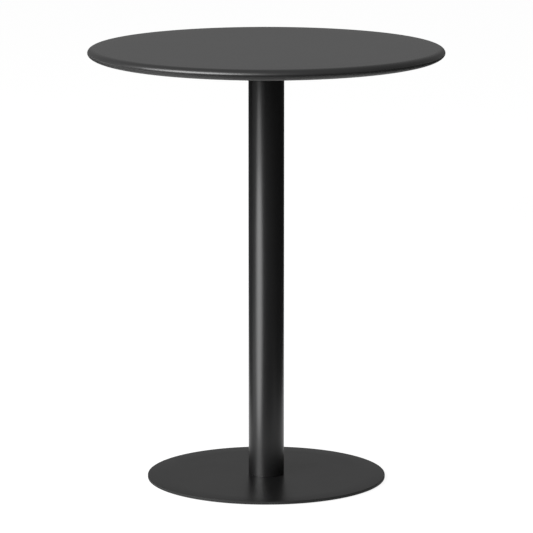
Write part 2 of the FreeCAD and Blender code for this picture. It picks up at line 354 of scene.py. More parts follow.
def screw_grids(head, under_head, top, socket_depth, screws):
    """Bolt or screw about the Z axis, head down: socket, end face, head, neck, thread and chamfered tip.

    The head is a profile from the rim of its end face to its underside. The socket is a hexagon sunk into the
    end face, and the thread starts under the head.
    """
    angle = full_turn(SCREW_COLUMNS)
    end_face = head[0][1]
    socket_floor = end_face + socket_depth
    root = root_of(screws.radius, screws.pitch)
    tip = top - screws.tip_chamfer
    hexagon = six_sided(screws.socket_flats, angle)
    socket = np.stack((
        polar(0.0, socket_floor, angle),
        polar(hexagon, socket_floor, angle),
        polar(hexagon, end_face, angle),
    ))
    body = turned(head, SCREW_COLUMNS)
    face = np.stack((socket[-1], body[0]))
    neck = turned(((head[-1][0], under_head), (root, under_head)), SCREW_COLUMNS)
    shank = thread(screws.radius, screws.pitch, root, under_head, tip, angle)
    end = turned(((root, tip), (root - screws.tip_chamfer / 2.0, top), (0.0, top)), SCREW_COLUMNS)
    return [socket, face, body, neck, shank, end]


def split_ring(section, screws, count):
    """Spring washer pressed flat: a closed section carried round a circle between the sides of a slit.

    Each corner of the section starts half a slit past the slit's middle and ends half a slit before it. The
    middle leans: it moves along the circle by the height from mid-thickness times the tangent of the lean.
    The first and last columns are the section's centre, which closes the two ends.
    """
    radius, height = section[:, :1], section[:, 1:]
    shift = ((height.min() + height.max()) / 2.0 - height) * math.tan(screws.lean)
    half = screws.slit / 2.0 / math.cos(screws.lean)
    start = np.arcsin((shift + half) / radius)
    end = FULL_TURN + np.arcsin((shift - half) / radius)
    ring = polar(radius, height, start + (end - start) * np.linspace(0.0, 1.0, count + 1))
    centres = np.broadcast_to(ring[:-1].mean(axis=0), ring.shape)
    return np.concatenate((centres[:, :1], ring, centres[:, -1:]), axis=1)


def around(grids, circle, count, first_turn=0.0):
    """Copies of each grid, moved out to a circle and set evenly round the Z axis."""
    bearing = first_turn + FULL_TURN * np.arange(count)[:, None, None] / count
    cosine, sine = np.cos(bearing), np.sin(bearing)
    copies = []
    for grid in grids:
        x, y, z = grid[..., 0] + circle, grid[..., 1], grid[..., 2]
        copies.extend(np.stack(np.broadcast_arrays(x * cosine - y * sine, x * sine + y * cosine, z), axis=-1))
    return copies


def hole_cell(inner, outer, circle, count, columns, side_steps):
    """Outline of one hole's share of a drilled ring, about the hole's axis, and its bearings from there.

    The share reaches half a hole spacing to each side. Its outline runs along the outer arc, in along one
    side, back along the inner arc and out along the other side. The arcs have the steps of a turned surface
    with that many columns, so that the two join.
    """
    half = math.pi / count
    arc = np.linspace(-half, half, columns // count + 1)
    side = np.linspace(outer, inner, side_steps + 1)
    radius = np.concatenate((np.full_like(arc, outer), side, np.full_like(arc, inner), side[::-1]))
    angle = np.concatenate((arc, np.full_like(side, half), arc[::-1], np.full_like(side, -half)))
    outline = polar(radius, 0.0, angle) - np.array((circle, 0.0, 0.0))
    return outline, np.unwrap(np.arctan2(outline[:, 1], outline[:, 0]))


def well(cell, rows):
    """Surface of one hole: rows between the outline of its cell and circles about its axis.

    Each row is a (radius, height). A radius of None is the cell's outline at that height.
    """
    outline, bearing = cell
    up = np.array((0.0, 0.0, 1.0))
    return np.stack([
        outline + height * up if radius is None else polar(radius, height, bearing) for radius, height in rows
    ])


def grid_faces(rows, columns):
    """Corners of the quads between neighbouring points of a grid."""
    point = np.arange(rows * columns).reshape(rows, columns)
    quads = np.stack((point[:-1, :-1], point[:-1, 1:], point[1:, 1:], point[1:, :-1]), axis=-1)
    return quads.reshape(-1, 4)


def mesh_from_grids(name, grids, closed=True):
    """One mesh from grids of points: their quads, with points that meet made one and faces turned outwards.

    A sheet that isn't closed keeps the side that its grid gives it.
    """
    first = np.cumsum([0] + [grid.shape[0] * grid.shape[1] for grid in grids])
    points = np.concatenate([grid.reshape(-1, 3) for grid in grids])
    faces = np.concatenate([grid_faces(*grid.shape[:2]) + start for grid, start in zip(grids, first)])
    mesh = bpy.data.meshes.new(name)
    mesh.vertices.add(len(points))
    mesh.vertices.foreach_set("co", points.astype(np.float32).ravel())
    mesh.loops.add(faces.size)
    mesh.loops.foreach_set("vertex_index", faces.astype(np.int32).ravel())
    mesh.polygons.add(len(faces))
    mesh.polygons.foreach_set("loop_start", np.arange(0, faces.size, 4, dtype=np.int32))
    mesh.update(calc_edges=True)
    work = bmesh.new()
    work.from_mesh(mesh)
    bmesh.ops.remove_doubles(work, verts=work.verts, dist=MERGE_GAP)
    bmesh.ops.dissolve_degenerate(work, edges=work.edges, dist=MERGE_GAP)
    if closed:
        bmesh.ops.recalc_face_normals(work, faces=work.faces)
    work.to_mesh(mesh)
    work.free()
    mesh.shade_smooth()
    mesh.set_sharp_from_angle(angle=SHARP_TURN)
    return mesh


def add_object(name, data, material=None):
    """Object in the scene for a mesh, lamp or camera, with the material of a mesh."""
    holder = bpy.data.objects.new(name, data)
    if material is not None:
        data.materials.append(material)
    bpy.context.scene.collection.objects.link(holder)
    return holder


def add_piece(name, grids, node, slot):
    """Object of a piece in its slot's finish, riding the table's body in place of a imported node."""
    piece = add_object(name, mesh_from_grids(name, grids), finish(slot))
    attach(piece, BODY)
    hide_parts(node)


# Shader nodes

def feed(tree, socket, value):
    """Gives an input socket a plain value, or a link from another node's output."""
    if isinstance(value, bpy.types.NodeSocket):
        tree.links.new(value, socket)
    else:
        socket.default_value = value


def add_node(tree, kind, inputs=None, **settings):
    """Node of a kind, with its settings and what its inputs are fed."""
    node = tree.nodes.new(kind)
    for name, value in settings.items():
        setattr(node, name, value)
    for name, value in (inputs or {}).items():
        feed(tree, node.inputs[name], value)
    return node


def maths(tree, operation, *values):
    """Output of a Math node on values or sockets."""
    return add_node(tree, "ShaderNodeMath", dict(enumerate(values)), operation=operation).outputs[0]


def total(tree, first, *terms):
    """Output of a first value plus each term's value times its weight."""
    for value, weight in terms:
        first = maths(tree, "MULTIPLY_ADD", value, weight, first)
    return first


def ramp(tree, value, start, end, low=0.0, high=1.0):
    """Output that goes from low to high while a value goes from start to end, and no further."""
    inputs = {"Value": value, "From Min": start, "From Max": end, "To Min": low, "To Max": high}
    return add_node(tree, "ShaderNodeMapRange", inputs, clamp=True).outputs["Result"]


def spread(tree, share, low, high):
    """Output that goes from low to high with a share from 0 to 1."""
    return ramp(tree, share, 0.0, 1.0, low, high)


def blend(tree, share, first, second):
    """Output of a colour mix: first where the share is 0, second where it is 1."""
    node = add_node(tree, "ShaderNodeMix", data_type="RGBA", clamp_factor=True)
    given = {"Factor_Float": share, "A_Color": first, "B_Color": second}
    for socket in node.inputs:
        if socket.identifier in given:
            feed(tree, socket, given[socket.identifier])
    return next(socket for socket in node.outputs if socket.identifier == "Result_Color")


def noise(tree, place, scale, detail, roughness=0.5):
    """Output of a noise field, 0 to 1, with scale cells in a metre."""
    inputs = {"Vector": place, "Scale": scale, "Detail": detail, "Roughness": roughness}
    return add_node(tree, "ShaderNodeTexNoise", inputs).outputs["Fac"]


def bump(tree, height, strength, depth):
    """Normal of a bumped surface, with the depth of its relief in metres."""
    inputs = {"Height": height, "Strength": strength, "Distance": depth}
    return add_node(tree, "ShaderNodeBump", inputs).outputs["Normal"]


def object_place(tree):
    """Place on the piece, as a vector from the frame's origin."""
    return add_node(tree, "ShaderNodeTexCoord").outputs["Object"]


def parts_of(tree, vector):
    """X, Y and Z outputs of a vector."""
    return add_node(tree, "ShaderNodeSeparateXYZ", {"Vector": vector}).outputs


# Effects that materials share

SHARED_EFFECTS = {}
DRAWN_OUT = (0.12, 0.12, 1.0)  # scale of place that draws a noise out in X and Y


def effect_group(name, inputs, outputs):
    """Empty shader group with named inputs, each with its start value, and named outputs."""
    group = bpy.data.node_groups.new(name, "ShaderNodeTree")
    for label, value in inputs.items():
        group.interface.new_socket(label, in_out="INPUT", socket_type="NodeSocketFloat").default_value = value
    for label in outputs:
        group.interface.new_socket(label, in_out="OUTPUT", socket_type="NodeSocketFloat")
    return group, add_node(group, "NodeGroupInput").outputs, add_node(group, "NodeGroupOutput").inputs


def use_group(tree, make, inputs=None):
    """Outputs of a shared effect in a material, with its own values; the first use makes the effect."""
    if make not in SHARED_EFFECTS:
        SHARED_EFFECTS[make] = make()
    return add_node(tree, "ShaderNodeGroup", inputs, node_tree=SHARED_EFFECTS[make]).outputs


def grain_group():
    """Fine grain and broad patches of a sprayed or moulded finish, by place on the piece."""
    rates = {"Grain Per Metre": 900.0, "Patches Per Metre": 9.0}
    group, given, out = effect_group("sprayed grain", rates, ("Grain", "Patches"))
    place = object_place(group)
    feed(group, out["Grain"], noise(group, place, given["Grain Per Metre"], detail=2.0))
    feed(group, out["Patches"], noise(group, place, given["Patches Per Metre"], detail=3.0))
    return group


def rim_group():
    """Band near a rim: a rise between two distances from the axis, plain and broken up into scuffs."""
    group, given, out = effect_group("rim", {"From": 0.0, "To": 1.0}, ("Rise", "Scuffs"))
    place = object_place(group)
    part = parts_of(group, place)
    square = maths(group, "MULTIPLY", part["Y"], part["Y"])
    square = maths(group, "MULTIPLY_ADD", part["X"], part["X"], square)
    rise = ramp(group, maths(group, "SQRT", square), given["From"], given["To"])
    worn = spread(group, noise(group, place, scale=130.0, detail=4.0, roughness=0.6), low=-0.6, high=1.3)
    feed(group, out["Rise"], rise)
    feed(group, out["Scuffs"], maths(group, "MULTIPLY", rise, maths(group, "MAXIMUM", worn, 0.0)))
    return group


def dust_group():
    """Thin dust that settles on level faces, more in some places than others."""
    group, given, out = effect_group("settled dust", {"Amount": 0.3}, ("Mask",))
    facing = parts_of(group, add_node(group, "ShaderNodeNewGeometry").outputs["Normal"])
    level = ramp(group, facing["Z"], start=0.7, end=1.0)
    cover = noise(group, object_place(group), scale=14.0, detail=5.0, roughness=0.6)
    film = maths(group, "MULTIPLY", level, spread(group, cover, low=0.2, high=1.0))
    feed(group, out["Mask"], maths(group, "MULTIPLY", film, given["Amount"]))
    return group


def plating_group():
    """Cloudy bloom of plated or bare metal, and fine draw marks that are long in X and Y and short in Z."""
    rates = {"Clouds Per Metre": 160.0, "Marks Per Metre": 2600.0}
    group, given, out = effect_group("metal bloom", rates, ("Clouds", "Marks"))
    place = object_place(group)
    drawn = add_node(group, "ShaderNodeMapping", {"Vector": place, "Scale": DRAWN_OUT}).outputs["Vector"]
    feed(group, out["Clouds"], noise(group, place, given["Clouds Per Metre"], detail=4.0, roughness=0.6))
    feed(group, out["Marks"], noise(group, drawn, given["Marks Per Metre"], detail=2.0))
    return group


# Finishes

FINISHES = {}
RUBBED_WIDTH = 14.0 * MM  # band of scuffs on the board, in from its widest line
RUB_SHINES = 0.015  # roughness that a scuff takes off the board
SANDED_FULL = 5.5 * MM  # above the widest line the rounding is sanded up to here
SANDED_GONE = 7.8 * MM  # and smooth from here
SANDED_DULLS = 0.14  # roughness that sanding adds
MATT_FULL = 3.5 * MM  # below the widest line the lacquer is matt from here down
MATT_GONE = 0.8 * MM  # and as above it down to here
MATT_DULLS = 0.21
BOARD_DUST_DULLS = 0.15
COAT_DUST_DULLS = 0.2
RIM_DULL_START = 1.0 * MM  # the coat gets duller from here, in from the foot's rim
RIM_DULL_FULL = 0.4 * MM  # up to here
RIM_DULLS = 0.4


def new_finish(name):
    """Material with a Principled shader, and its node tree."""
    material = bpy.data.materials.new(name)
    material.use_nodes = True
    return material, material.node_tree


def dress(tree, inputs):
    """Feeds the inputs of a material's Principled shader."""
    for name, value in inputs.items():
        feed(tree, tree.nodes["Principled BSDF"].inputs[name], value)


def shade(colour, factor=1.0):
    """Colour scaled by a factor, as a socket value."""
    return tuple(min(1.0, channel * factor) for channel in colour) + (1.0,)


def board_lacquer(colour):
    """Lacquer sprayed on the board: faint broad patches, a fine grain, thin dust and a rubbed edge.

    It is smooth on the flat, sanded duller on the rounding and left matt under the edge's widest line.
    """
    board = bpy.context.scene.table_board
    widest = ends_of("table_top")[1] - board.edge_drop
    deep, pale, dusty = (shade(colour, factor) for factor in (0.94, 1.06, 1.6))
    material, tree = new_finish("matte_board_lacquer")
    grain = use_group(tree, grain_group, {"Grain Per Metre": 700.0, "Patches Per Metre": 6.0})
    rub = use_group(tree, rim_group, {"From": board.radius - RUBBED_WIDTH, "To": board.radius})["Scuffs"]
    dust = use_group(tree, dust_group, {"Amount": 0.10})["Mask"]
    height = parts_of(tree, object_place(tree))["Z"]
    sanded = ramp(tree, height, widest + SANDED_FULL, widest + SANDED_GONE, low=1.0, high=0.0)
    matt = ramp(tree, height, widest - MATT_FULL, widest - MATT_GONE, low=1.0, high=0.0)
    rough = total(
        tree, spread(tree, grain["Patches"], low=0.235, high=0.255), (dust, BOARD_DUST_DULLS),
        (rub, -RUB_SHINES), (sanded, SANDED_DULLS), (matt, MATT_DULLS),
    )
    dress(tree, {
        "Base Color": blend(tree, dust, blend(tree, grain["Patches"], deep, pale), dusty),
        "Roughness": rough,
        "Normal": bump(tree, grain["Grain"], strength=0.10, depth=0.05 * MM),
        "Specular IOR Level": 0.8,
    })
    return material


def black_coat(colour):
    """Satin powder coat on steel: orange-peel relief, slight patches, thin dust and a duller rim."""
    radius = bpy.context.scene.table_foot.radius
    deep, pale, dusty, scuffed = (shade(colour, factor) for factor in (0.92, 1.08, 2.0, 1.3))
    material, tree = new_finish("satin_black_coat")
    grain = use_group(tree, grain_group, {"Grain Per Metre": 1100.0, "Patches Per Metre": 14.0})
    rim = use_group(tree, rim_group, {"From": radius - RIM_DULL_START, "To": radius - RIM_DULL_FULL})
    dust = use_group(tree, dust_group, {"Amount": 0.12})["Mask"]
    clean = blend(tree, grain["Patches"], deep, pale)
    rough = total(
        tree, spread(tree, grain["Patches"], low=0.285, high=0.31), (dust, COAT_DUST_DULLS),
        (rim["Rise"], RIM_DULLS),
    )
    dress(tree, {
        "Base Color": blend(tree, rim["Scuffs"], blend(tree, dust, clean, dusty), scuffed),
        "Roughness": rough,
        "Normal": bump(tree, grain["Grain"], strength=0.12, depth=0.05 * MM),
        "Specular IOR Level": 0.42,
    })
    return material


def bare_metal(name, colour, rough, vary):
    """Plated, blackened or bare metal: cloudy bloom in colour and gloss over fine draw marks."""
    deep, pale = shade(colour, 0.82), shade(colour, 1.08)
    material, tree = new_finish(name)
    bloom = use_group(tree, plating_group)
    clouded = spread(tree, bloom["Clouds"], low=rough - vary, high=rough + vary)
    dress(tree, {
        "Base Color": blend(tree, bloom["Clouds"], deep, pale),
        "Roughness": total(tree, clouded, (bloom["Marks"], vary)),
        "Normal": bump(tree, bloom["Marks"], strength=0.15, depth=0.02 * MM),
        "Metallic": 1.0,
    })
    return material


def pad_rubber(colour):
    """Moulded rubber: dull, slightly chalky and finely pitted."""
    deep, chalky = shade(colour, 0.75), shade(colour, 1.35)
    material, tree = new_finish("moulded_pad_rubber")
    grain = use_group(tree, grain_group, {"Grain Per Metre": 2400.0, "Patches Per Metre": 60.0})
    dress(tree, {
        "Base Color": blend(tree, grain["Patches"], deep, chalky),
        "Roughness": spread(tree, grain["Patches"], low=0.72, high=0.86),
        "Normal": bump(tree, grain["Grain"], strength=0.35, depth=0.06 * MM),
        "Specular IOR Level": 0.3,
    })
    return material


FINISH_MAKERS = {
    "board_lacquer": lambda own: board_lacquer(own.board),
    "black_coat": lambda own: black_coat(own.coat),
    "zinc_steel": lambda own: bare_metal("zinc_plate", own.zinc, rough=0.37, vary=0.08),
    "spring_steel": lambda own: bare_metal("blackened_spring_steel", own.spring, rough=0.42, vary=0.08),
    "turned_steel": lambda own: bare_metal("turned_bright_steel", own.turned, rough=0.36, vary=0.07),
    "insert_brass": lambda own: bare_metal("pressed_brass", own.brass, rough=0.36, vary=0.07),
    "pad_rubber": lambda own: pad_rubber(own.rubber),
}


def finish(slot):
    """Finish of a material slot, made the first time it is asked for."""
    if slot not in FINISHES:
        FINISHES[slot] = FINISH_MAKERS[slot](bpy.context.scene.table_colours)
    return FINISHES[slot]


# Operators, one for each piece or group of like pieces

# Half widths of the rings of surface that hold a circle of holes
BOARD_RING = 18.0 * MM
FOOT_RING = 11.0 * MM
PLATE_RING = 10.0 * MM
BOSS_RING = 7.0 * MM
SCREW_TURN = math.pi / 4.0  # the foot's screws stand between the X and Y axes
INSERT_BARBS = 4
WASHER_BEVEL = 0.15 * MM
SPRING_BEVEL = 0.1 * MM
ROD_SPRING_BEVEL = 0.12 * MM
PAD_COUNT = 6
PAD_RINGS = 3
# Section of a grip ring in a pad, in depths of the groove: places across it, and the rise there
GROOVE_ACROSS = np.array((-2.0, -1.0, 1.0, 2.0))
GROOVE_RISE = np.array((0.0, 1.0, 1.0, 0.0))


class TABLE_OT_board_top(bpy.types.Operator):
    """Board top: a flat surface, an edge rounded above and swept back below, and the underside's holes"""

    bl_idname = "table.board_top"
    bl_label = "Board Top"

    def execute(self, context):
        board = context.scene.table_board
        plate = context.scene.table_plate
        low, high = ends_of("table_top")
        widest = (board.radius, high - board.edge_drop)
        upper_flat = (board.radius - board.edge_setback, high)
        lower_flat = (board.radius - board.under_setback, low)
        inner, outer = plate.bolt_circle - BOARD_RING, plate.bolt_circle + BOARD_RING
        outside = joined(
            straight((0.0, high), upper_flat, TOP_STEPS),
            rounded(widest, upper_flat, UPPER_EDGE_STEPS)[::-1],
            rounded(widest, lower_flat, LOWER_EDGE_STEPS),
            straight(lower_flat, (outer, low), UNDERSIDE_STEPS),
        )
        ceiling = low + board.recess_depth
        recess = joined(
            (inner, low), (board.recess_radius, low), (board.recess_radius, ceiling), (0.0, ceiling),
        )
        cell = hole_cell(inner, outer, plate.bolt_circle, plate.bolt_count, BOARD_COLUMNS, SIDE_STEPS)
        top = low + board.insert_hole_depth
        hole = well(cell, (
            (None, low), (board.insert_hole_radius, low), (board.insert_hole_radius, top), (0.0, top),
        ))
        grids = [turned(outside, BOARD_COLUMNS), turned(recess, BOARD_COLUMNS)]
        grids += around([hole], plate.bolt_circle, plate.bolt_count)
        add_piece("board_top", grids, "table_top", "board_lacquer")
        return {"FINISHED"}


class TABLE_OT_column(bpy.types.Operator):
    """Column: the tube, and the flanged cap in its upper end"""

    bl_idname = "table.column"
    bl_label = "Column"

    def execute(self, context):
        column = context.scene.table_column
        hole = context.scene.table_rod.hole_radius
        cut = column.edge_break
        tube = ring_section(column.radius - column.wall, column.radius, *ends_of("column_tube"), cut)
        add_piece("column_post", [turned(tube, TUBE_COLUMNS)], "column_tube", "black_coat")

        low, high = ends_of("column_cap")
        shoulder = high - column.cap_flange
        cap = joined(
            (hole, low + cut),
            (hole + cut, low),
            (column.spigot_radius - cut, low),
            (column.spigot_radius, low + cut),
            (column.spigot_radius, shoulder),
            (column.radius - cut, shoulder),
            (column.radius, shoulder + cut),
            (column.radius, high - cut),
            (column.radius - cut, high),
            (hole + cut, high),
            (hole, high - cut),
            (hole, low + cut),
        )
        add_piece("column_collar", [turned(cap, TUBE_COLUMNS)], "column_cap", "black_coat")
        return {"FINISHED"}


class TABLE_OT_disc_foot(bpy.types.Operator):
    """Disc foot: a flat disc with a rounded rim and countersunk holes from below"""

    bl_idname = "table.disc_foot"
    bl_label = "Disc Foot"

    def execute(self, context):
        foot = context.scene.table_foot
        low, high = ends_of("base_plate")
        inner, outer = foot.screw_circle - FOOT_RING, foot.screw_circle + FOOT_RING
        outside = disc_edge(outer, foot.radius, foot.edge_radius, low, high, DISC_STEPS)
        cell = hole_cell(inner, outer, foot.screw_circle, foot.screw_count, DISC_COLUMNS, SIDE_STEPS)
        seat = low + foot.mouth_depth
        neck = seat + foot.mouth_radius - foot.screw_hole_radius
        hole = well(cell, (
            (None, low),
            (foot.mouth_radius, low),
            (foot.mouth_radius, seat),
            (foot.screw_hole_radius, neck),
            (foot.screw_hole_radius, high),
            (None, high),
        ))
        grids = [turned(outside, DISC_COLUMNS)]
        grids += [turned(((inner, level), (0.0, level)), DISC_COLUMNS) for level in (low, high)]
        grids += around([hole], foot.screw_circle, foot.screw_count, SCREW_TURN)
        add_piece("disc_foot", grids, "base_plate", "black_coat")
        return {"FINISHED"}


class TABLE_OT_under_plate(bpy.types.Operator):
    """Plate under the board: a flat disc with a rounded rim, a hole for the rod and holes for the bolts"""

    bl_idname = "table.under_plate"
    bl_label = "Under Plate"

    def execute(self, context):
        plate = context.scene.table_plate
        bore = context.scene.table_rod.hole_radius
        low, high = ends_of("mounting_plate")
        inner, outer = plate.bolt_circle - PLATE_RING, plate.bolt_circle + PLATE_RING
        outside = disc_edge(outer, plate.radius, plate.edge_radius, low, high, steps=1)
        middle = joined(
            straight((inner, low), (bore, low), PLATE_STEPS),
            straight((bore, high), (inner, high), PLATE_STEPS),
        )
        cell = hole_cell(inner, outer, plate.bolt_circle, plate.bolt_count, PLATE_COLUMNS, SMALL_SIDE_STEPS)
        hole = well(cell, (
            (None, low), (plate.bolt_hole_radius, low), (plate.bolt_hole_radius, high), (None, high),
        ))
        grids = [turned(outside, PLATE_COLUMNS), turned(middle, PLATE_COLUMNS)]
        grids += around([hole], plate.bolt_circle, plate.bolt_count)
        add_piece("under_plate", grids, "mounting_plate", "black_coat")
        return {"FINISHED"}


class TABLE_OT_foot_pads(bpy.types.Operator):
    """Pads under the foot: bevelled discs with grip rings moulded into the underside"""

    bl_idname = "table.foot_pads"
    bl_label = "Foot Pads"

    def execute(self, context):
        foot = context.scene.table_foot
        low, high = ends_of("glide_pad_1")
        flat = foot.pad_radius - foot.pad_bevel
        middles = flat / (PAD_RINGS + 1) * np.arange(1, PAD_RINGS + 1)
        radius = (middles[:, None] + foot.pad_groove * GROOVE_ACROSS).ravel()
        height = np.tile(low + foot.pad_groove * GROOVE_RISE, PAD_RINGS)
        profile = joined(
            (0.0, low),
            np.stack((radius, height), axis=-1),
            (flat, low),
            (foot.pad_radius, low + foot.pad_bevel),
            (foot.pad_radius, high),
            (0.0, high),
        )
        circle = reach_of("glide_pad_1") - foot.pad_radius
        pads = around([turned(profile, PAD_COLUMNS)], circle, PAD_COUNT)
        for number, grid in enumerate(pads, start=1):
            add_piece(f"foot_pad_{number}", [grid], f"glide_pad_{number}", "pad_rubber")
        return {"FINISHED"}


class TABLE_OT_plate_bolts(bpy.types.Operator):
    """Bolts through the plate, their flat and spring washers, and the inserts that they screw into"""

    bl_idname = "table.plate_bolts"
    bl_label = "Plate Bolts"

    def execute(self, context):
        plate = context.scene.table_plate
        screws = context.scene.table_screws

        def add_set(name, grids, node, slot):
            """A set of like pieces round the bolt circle."""
            add_piece(name, around(grids, plate.bolt_circle, plate.bolt_count), node, slot)

        end_face, tip = ends_of("plate_bolts")
        spring_low, spring_high = ends_of("spring_washers")
        dome = rounded((plate.head_radius, spring_low), (plate.crown_radius, end_face), DOME_STEPS)[::-1]
        bolt = screw_grids(dome, spring_low, tip, screws.bolt_socket_depth, screws)
        add_set("plate_bolt_set", bolt, "plate_bolts", "zinc_steel")

        hole = plate.bolt_hole_radius
        flat = ring_section(hole, plate.washer_radius, *ends_of("flat_washers"), WASHER_BEVEL)
        add_set("flat_washer_set", [turned(flat, SCREW_COLUMNS)], "flat_washers", "zinc_steel")

        section = ring_section(hole, plate.spring_radius, spring_low, spring_high, SPRING_BEVEL)
        spring = split_ring(section, screws, SCREW_COLUMNS)
        add_set("spring_washer_set", [spring], "spring_washers", "spring_steel")

        low, high = ends_of("threaded_inserts")
        mouth = screws.radius + screws.slack
        step = (high - low) / INSERT_BARBS
        teeth = [
            ((plate.insert_radius, low + barb * step),
             (plate.insert_radius - plate.barb_depth, low + (barb + 1) * step))
            for barb in range(INSERT_BARBS)
        ]
        outside = turned(joined((mouth, low), *teeth, (mouth, high)), SCREW_COLUMNS)
        inside = thread(mouth, screws.pitch, mouth, low, high, full_turn(SCREW_COLUMNS))
        add_set("insert_set", [outside, inside], "threaded_inserts", "insert_brass")
        return {"FINISHED"}


class TABLE_OT_tie_rod(bpy.types.Operator):
    """Tie rod inside the column, with its washer, spring washer and thin nut"""

    bl_idname = "table.tie_rod"
    bl_label = "Tie Rod"

    def execute(self, context):
        rod = context.scene.table_rod
        screws = context.scene.table_screws
        angle = full_turn(ROD_COLUMNS)
        root = root_of(rod.radius, rod.pitch)
        low, high = ends_of("tie_rod")
        foot_end, top_start = low + rod.foot_thread, high - rod.top_thread
        start, stop = low + rod.chamfer, high - rod.chamfer
        point = root - rod.chamfer / 2.0
        shank = joined(
            (root, foot_end),
            (rod.radius, foot_end + rod.chamfer),
            (rod.radius, top_start - rod.chamfer),
            (root, top_start),
        )
        grids = [
            turned(((0.0, low), (point, low), (root, start)), ROD_COLUMNS),
            thread(rod.radius, rod.pitch, root, start, foot_end, angle),
            turned(shank, ROD_COLUMNS),
            thread(rod.radius, rod.pitch, root, top_start, stop, angle),
            turned(((root, stop), (point, high), (0.0, high)), ROD_COLUMNS),
        ]
        add_piece("threaded_tie_rod", grids, "tie_rod", "zinc_steel")

        flat = ring_section(rod.hole_radius, rod.washer_radius, *ends_of("rod_flat_washer"), WASHER_BEVEL)
        add_piece("rod_washer", [turned(flat, ROD_COLUMNS)], "rod_flat_washer", "zinc_steel")

        section = ring_section(
            rod.hole_radius, rod.spring_radius, *ends_of("rod_spring_washer"), ROD_SPRING_BEVEL,
        )
        spring = split_ring(section, screws, ROD_COLUMNS)
        add_piece("rod_spring_ring", [spring], "rod_spring_washer", "spring_steel")

        low, high = ends_of("rod_nut")
        half_flats = rod.nut_flats / 2.0
        corner = rod.nut_flats / math.sqrt(3.0)
        mouth = rod.radius + screws.slack
        bevel = np.linspace(0.0, rod.nut_chamfer, RIM_STEPS + 1)
        height = np.concatenate((low + bevel, high - bevel[::-1]))[:, None]
        from_end = np.minimum(height - low, high - height)
        limit = half_flats + from_end * (corner - half_flats) / rod.nut_chamfer
        sides = polar(np.minimum(six_sided(rod.nut_flats, angle), limit), height, angle)
        faces = [np.stack((polar(mouth, level, angle), sides[row])) for level, row in ((low, 0), (high, -1))]
        inside = thread(mouth, rod.pitch, mouth, low, high, angle)
        add_piece("thin_rod_nut", [sides, inside] + faces, "rod_nut", "zinc_steel")
        return {"FINISHED"}


class TABLE_OT_foot_boss(bpy.types.Operator):
    """Boss in the tube's lower end, tapped for the rod, and the sunk screws that hold the foot to it"""

    bl_idname = "table.foot_boss"
    bl_label = "Foot Boss"

    def execute(self, context):
        foot = context.scene.table_foot
        rod = context.scene.table_rod
        column = context.scene.table_column
        screws = context.scene.table_screws
        circle, count = foot.screw_circle, foot.screw_count
        low, high = ends_of("foot_boss")
        cut = column.edge_break
        inner, outer = circle - BOSS_RING, circle + BOSS_RING
        rod_mouth = rod.radius + screws.slack
        screw_mouth = screws.radius + screws.slack
        outside = joined(
            (outer, low),
            (column.spigot_radius - cut, low),
            (column.spigot_radius, low + cut),
            (column.spigot_radius, high - cut),
            (column.spigot_radius - cut, high),
            (outer, high),
        )
        cell = hole_cell(inner, outer, circle, count, BOSS_COLUMNS, SMALL_SIDE_STEPS)
        grids = [turned(outside, BOSS_COLUMNS)]
        grids += [turned(((inner, level), (rod_mouth, level)), BOSS_COLUMNS) for level in (low, high)]
        grids.append(thread(rod_mouth, rod.pitch, rod_mouth, low, high, full_turn(BOSS_COLUMNS)))
        holes = [well(cell, ((None, level), (screw_mouth, level))) for level in (low, high)]
        holes.append(thread(screw_mouth, screws.pitch, screw_mouth, low, high, cell[1]))
        grids += around(holes, circle, count, SCREW_TURN)
        add_piece("turned_boss", grids, "foot_boss", "turned_steel")

        end_face, tip = ends_of("foot_screws")
        under_head = end_face + foot.screw_head_radius - screws.radius
        head = joined((foot.screw_head_radius, end_face), (screws.radius, under_head))
        screw = screw_grids(head, under_head, tip, screws.screw_socket_depth, screws)
        add_piece("sunk_screw_set", around(screw, circle, count, SCREW_TURN), "foot_screws", "zinc_steel")
        return {"FINISHED"}


# Stage

KEY_BEARING = math.radians(47.0)  # to the left of the camera's line
KEY_RISE = math.radians(30.0)
KEY_DISTANCE = 4.6
KEY_WIDTH = 5.2
KEY_HEIGHT = 3.2
STRIP_BEARING = math.radians(46.0)
STRIP_DISTANCE = 0.32
STRIP_WIDTH = 0.25
STRIP_HEIGHT = 0.72
STRIP_MIDDLE = 0.27
STRIP_SPREAD = math.radians(65.0)
CORE_AHEAD = 0.01  # the hot middle's lamp stands this far in front
CORE_HEIGHT = 0.46
FLOOR_RINGS = (4.0, 1.0)  # radii that divide the floor
FLOOR_DROP = 0.2 * MM  # keeps the floor clear of the pads' undersides
FLAG_ASIDE = 0.47  # from the table's axis to the front ends of the upright sheets beside it
FLAG_FLARE = 0.22  # they stand this much wider at the back, out of the picture all the way
FLAG_HEIGHT = 0.70
FLAG_BACK = 3.0  # how far they reach back
LEFT_FLAG_START = 0.05  # the left one starts behind the lamps
RIGHT_FLAG_START = -1.4  # the right one in front of the table
CLOTH_START = -0.40  # just in front of what the picture shows of the floor
CLOTH_LENGTH = 8.0
CLOTH_WIDTH = 3.2
LEFT_CLOTH_ASIDE = 1.4  # from the table's axis to the near edge of the cloth on the left
LEFT_CLOTH_BACK = 1.0
LEFT_CLOTH_LENGTH = 6.0
LEFT_CLOTH_WIDTH = 3.6
CAMERA_REACH = 100.0


def left_front(distance, bearing):
    """X and Y at a distance from the table's axis, turned to the left of the camera's line."""
    return -distance * math.sin(bearing), -distance * math.cos(bearing)


